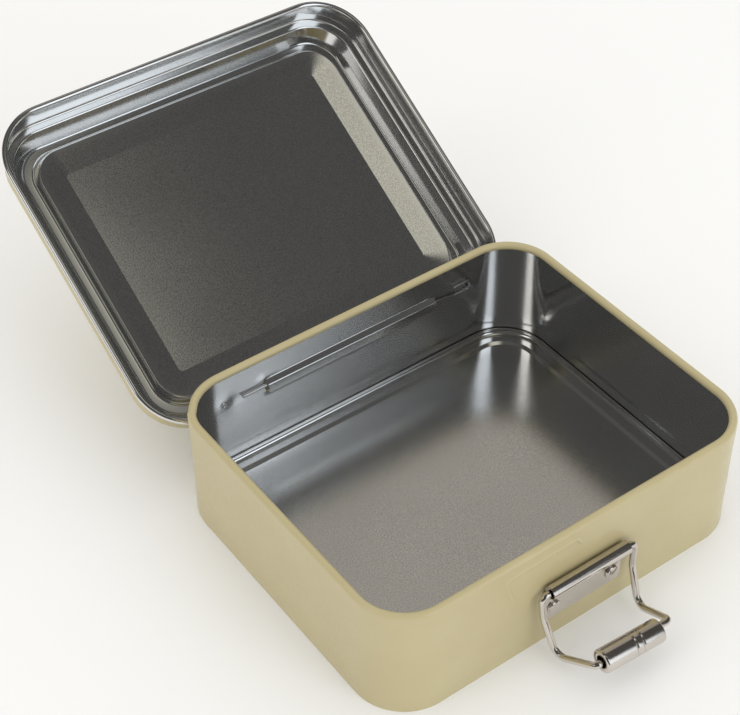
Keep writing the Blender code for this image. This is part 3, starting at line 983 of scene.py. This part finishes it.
def bracket_path():
    """Up the flange from its rounded foot, then round the tube."""
    middle = BRACKET_RADIUS - BRACKET_SHEET / 2
    flange_y = BRACKET_Y + middle
    path = []
    for step in range(BRACKET_FOOT_STEPS + 1):
        rise = BRACKET_FOOT_ROUND * (1 - cos(pi / 2 * step / BRACKET_FOOT_STEPS))
        path.append(Vector((flange_y, BRACKET_FOOT + rise)))
    path += divided([path[-1], Vector((flange_y, BRACKET_Z))], longest=0.002)[1:-1]
    return path + arc((BRACKET_Y, BRACKET_Z), middle, 0, 300, steps=40)


def bracket_half(index):
    """Half the bracket's width at a point of its path: the foot's two corners are rounded."""
    if index > BRACKET_FOOT_STEPS:
        return BRACKET_HALF
    return BRACKET_HALF - BRACKET_FOOT_ROUND * (1 - sin(pi / 2 * index / BRACKET_FOOT_STEPS))


shown(
    "latch_bracket_piece", strip(bracket_path(), bracket_half, BRACKET_SHEET, BRACKET_COLUMNS),
    NICKEL_PLATE, "box", ("latch_bracket",),
)

rivet_outer = -(HALF_DEPTH + GAP + BRACKET_SHEET)
rivet_inner = -(HALF_DEPTH - SHEET - RIVET_SUNK)
rivet_profile = []
for step in range(RIVET_STEPS + 1):
    angle = pi / 2 * step / RIVET_STEPS
    rise = RIVET_RISE * cos(angle) ** RIVET_SHOULDER
    rivet_profile.append((RIVET_HEAD * sin(angle) ** RIVET_SHOULDER, rivet_outer - rise))
rivet_profile += [(RIVET_SHANK, rivet_outer), (RIVET_SHANK, rivet_inner)]
rivet_profile += [(RIVET_HEAD * share, rivet_inner + rise) for share, rise in RIVET_BUTTON]
for side in ("left", "right"):
    low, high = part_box(f"rivet_{side}")
    rivet_centre = Vector(((low.x + high.x) / 2, 0, RIVET_Z))
    shown(
        f"rivet_{side}_head", turned(rivet_profile, "Y", rivet_centre),
        NICKEL_PLATE, "box", (f"rivet_{side}",),
    )


# ---- The wire bail and its roller ---------------------------------------------------------------
# Plated wire, threaded through the bracket, bent out at the knees and in again at the foot to hold
# a roller of rolled sheet. The two swing up over the shut lid. The roller has two grooves.

BAIL_RADIUS = 0.0012
BAIL_HALF = 0.0193
BAIL_SHOULDER = (0.0185, -0.0659, 0.0165)
BAIL_KNEE = (0.0172, -0.0719, 0.0027)
BAIL_FOOT = (0.0153, -0.0872, 0.0121)
BAIL_STUB = 0.0080
BAIL_BENDS = (0.0018, 0.0040, 0.0080, 0.0022)
ROLLER_SPIN = next(joint for joint in frame["joints"] if joint["name"] == "roller_spin")
ROLLER_CENTRE = Vector(ROLLER_SPIN["pos_m"])
ROLLER_AXIS = Vector(ROLLER_SPIN["axis"])
ROLLER_HALF = 0.0116
ROLLER_RADIUS = 0.0041
ROLLER_SHEET = 0.00045
ROLLER_BAND = 0.00165
ROLLER_LIP = 0.0008
ROLLER_LIP_STEPS = 8
ROLLER_MOUTH = 0.0022
ROLLER_MOUTH_SET_IN = 0.0001
ROLLER_AROUND = 48
ROLLER_GROOVE = 0.0009
GROOVE_DEPTH = 0.00030
GROOVE_SPREAD = 1.2
GROOVE_STEPS = 12


def bail_route():
    """From the middle of the roller out, up to the bracket and down the other side."""
    half = [
        (BAIL_STUB, BAIL_FOOT[1], BAIL_FOOT[2]),
        BAIL_FOOT,
        BAIL_KNEE,
        BAIL_SHOULDER,
        (BAIL_HALF, BRACKET_Y, BRACKET_Z),
    ]
    points = half + [(-x, y, z) for x, y, z in reversed(half)]
    return rounded_route(points, BAIL_BENDS + BAIL_BENDS[::-1])


def roller_profile():
    """The roller's wall: its ends turned in to rounded lips, a band between two grooves."""
    bore = ROLLER_RADIUS - ROLLER_SHEET
    outside = []
    for middle in (ROLLER_BAND - 1.5 * ROLLER_GROOVE, ROLLER_BAND + 1.5 * ROLLER_GROOVE):
        for step in range(GROOVE_STEPS + 1):
            share = step / GROOVE_STEPS - 0.5
            dip = GROOVE_DEPTH * cos(pi * share) ** 2
            outside.append((ROLLER_RADIUS - dip, middle + share * ROLLER_GROOVE * GROOVE_SPREAD))
    ends = []
    for side in (-1, 1):
        lip = []
        for step in range(ROLLER_LIP_STEPS + 1):
            angle = pi / 2 * step / ROLLER_LIP_STEPS
            out = ROLLER_RADIUS - ROLLER_LIP * (1 - cos(angle))
            lip.append((out, side * (ROLLER_HALF - ROLLER_LIP * (1 - sin(angle)))))
        lip += [
            (ROLLER_MOUTH, side * (ROLLER_HALF - ROLLER_MOUTH_SET_IN)),
            (ROLLER_MOUTH, side * (ROLLER_HALF - ROLLER_SHEET)),
            (bore, side * (ROLLER_HALF - ROLLER_LIP - ROLLER_SHEET)),
        ]
        ends.append(lip)
    first, last = ends
    return first[::-1] + outside + last + [first[-1]]


shown(
    "bail_wire_piece", wire(bail_route(), BAIL_RADIUS),
    NICKEL_PLATE, "bail", ("bail_wire",),
)
roller_turn = Vector((1, 0, 0)).rotation_difference(ROLLER_AXIS)
roller_place = Matrix.Translation(ROLLER_CENTRE) @ roller_turn.to_matrix().to_4x4()
shown(
    "bail_roller_piece", turned(roller_profile(), "X", Vector(), ROLLER_AROUND),
    NICKEL_PLATE, "roller", ("bail_roller",), roller_place,
)


# ---- The table, the lights and the camera -------------------------------------------------------
# A plain white table, a large soft light in front and a smaller one from the left. Round them is
# an even fill, which reflections show as a dim room with two soft bright patches.

TABLE_HALF = 14.0
TABLE_WHITE = (0.93, 0.93, 0.925)
CAMERA_PLACE = (-0.26294, -0.31757, 0.44742)
CAMERA_RIGHT = (0.808176, -0.588842, -0.010761)
CAMERA_DOWN = (-0.405425, -0.543001, -0.735378)
CAMERA_AHEAD = (0.427178, 0.598677, -0.677572)
SENSOR_WIDTH = 36.0
LENS = 85.53
LIGHT_TARGET = Vector((0, 0.03, 0.03))
# Name, direction, distance, width, height, power and tint.
SOFTBOXES = (
    ("front_softbox", (0.198, -0.892, 0.407), 3.0, 1.60, 2.60, 17.5, (0.90, 0.97, 1.04)),
    ("left_softbox", (-0.798, 0.028, 0.602), 3.0, 0.85, 1.50, 5.0, (1.0, 0.99, 0.95)),
)
ROOM_DIM = (0.080, 0.079, 0.076)
# Direction, angle that is full, angle past which it is gone, and light.
ROOM_GLOWS = (
    ((0.447, 0.480, 0.755), 6, 24, (0.36, 0.33, 0.285)),
    ((0.133, -0.279, 0.951), 2, 14, (0.61, 0.59, 0.485)),
)
FILL_TINT = (1.0, 0.99, 0.97, 1)
FILL_STRENGTH = 0.97


def table_sheet():
    """One large square at the table's height."""
    builder = bmesh.new()
    corners = ((-1, -1), (1, -1), (1, 1), (-1, 1))
    builder.faces.new([builder.verts.new((x * TABLE_HALF, y * TABLE_HALF, 0)) for x, y in corners])
    return builder


def soft_light(name, direction, distance, width, height, watts, tint):
    """A softbox that faces the box from a direction."""
    data = bpy.data.lights.new(name, "AREA")
    data.color = tint
    data.shape = "RECTANGLE"
    data.size = width
    data.size_y = height
    data.energy = watts
    lamp = bpy.data.objects.new(name, data)
    bpy.context.scene.collection.objects.link(lamp)
    direction = Vector(direction).normalized()
    lamp.location = LIGHT_TARGET + direction * distance
    lamp.rotation_euler = direction.to_track_quat("Z", "Y").to_euler()


def glow(tree, place, direction, inner, outer, light):
    """A soft bright patch of the room round a direction: full inside one angle, gone past the other."""
    facing = tree.nodes.new("ShaderNodeVectorMath")
    facing.operation = "DOT_PRODUCT"
    facing.inputs[1].default_value = Vector(direction).normalized()
    tree.links.new(place, facing.inputs[0])
    fade = tree.nodes.new("ShaderNodeMapRange")
    fade.interpolation_type = "SMOOTHSTEP"
    fade.inputs["From Min"].default_value = cos(radians(outer))
    fade.inputs["From Max"].default_value = cos(radians(inner))
    tree.links.new(facing.outputs["Value"], fade.inputs["Value"])
    tinted = tree.nodes.new("ShaderNodeVectorMath")
    tinted.operation = "SCALE"
    tinted.inputs[0].default_value = light
    tree.links.new(fade.outputs["Result"], tinted.inputs["Scale"])
    return tinted.outputs["Vector"]


def dim_room():
    """The world: an even fill, which reflections show as a dim room with its glows."""
    world = bpy.data.worlds.new("dim_room")
    world.use_nodes = True
    tree = world.node_tree
    place = tree.nodes.new("ShaderNodeTexCoord").outputs["Generated"]
    total = None
    for patch in ROOM_GLOWS:
        both = tree.nodes.new("ShaderNodeVectorMath")
        both.inputs[1].default_value = ROOM_DIM
        if total:
            tree.links.new(total, both.inputs[1])
        tree.links.new(glow(tree, place, *patch), both.inputs[0])
        total = both.outputs["Vector"]
    seen = tree.nodes["Background"]
    tree.links.new(total, seen.inputs["Color"])
    fill = tree.nodes.new("ShaderNodeBackground")
    fill.inputs["Color"].default_value = FILL_TINT
    fill.inputs["Strength"].default_value = FILL_STRENGTH
    ray = tree.nodes.new("ShaderNodeLightPath")
    either = tree.nodes.new("ShaderNodeMixShader")
    tree.links.new(ray.outputs["Is Glossy Ray"], either.inputs["Fac"])
    tree.links.new(fill.outputs["Background"], either.inputs[1])
    tree.links.new(seen.outputs["Background"], either.inputs[2])
    tree.links.new(either.outputs["Shader"], tree.nodes["World Output"].inputs["Surface"])
    return world


table_finish = bpy.data.materials.new("table_white")
table_finish.use_nodes = True
table_shader = table_finish.node_tree.nodes["Principled BSDF"]
table_shader.inputs["Base Color"].default_value = (*TABLE_WHITE, 1)
table_shader.inputs["Roughness"].default_value = 0.7
table_shader.inputs["Specular IOR Level"].default_value = 0.2
table = bpy.data.objects.new("table_top", finished("table_top", table_sheet()))
bpy.context.scene.collection.objects.link(table)
table.data.materials.append(table_finish)

for softbox in SOFTBOXES:
    soft_light(*softbox)
bpy.context.scene.world = dim_room()
bpy.context.scene.view_settings.view_transform = "Standard"

camera_data = bpy.data.cameras.new("camera")
camera_data.sensor_width = SENSOR_WIDTH
camera_data.lens = LENS
camera = bpy.data.objects.new("camera", camera_data)
bpy.context.scene.collection.objects.link(camera)
camera_up = [-value for value in CAMERA_DOWN]
camera_back = [-value for value in CAMERA_AHEAD]
camera_axes = Matrix((CAMERA_RIGHT, camera_up, camera_back))
camera.matrix_world = Matrix.Translation(CAMERA_PLACE) @ camera_axes.transposed().to_4x4()
bpy.context.scene.camera = camera
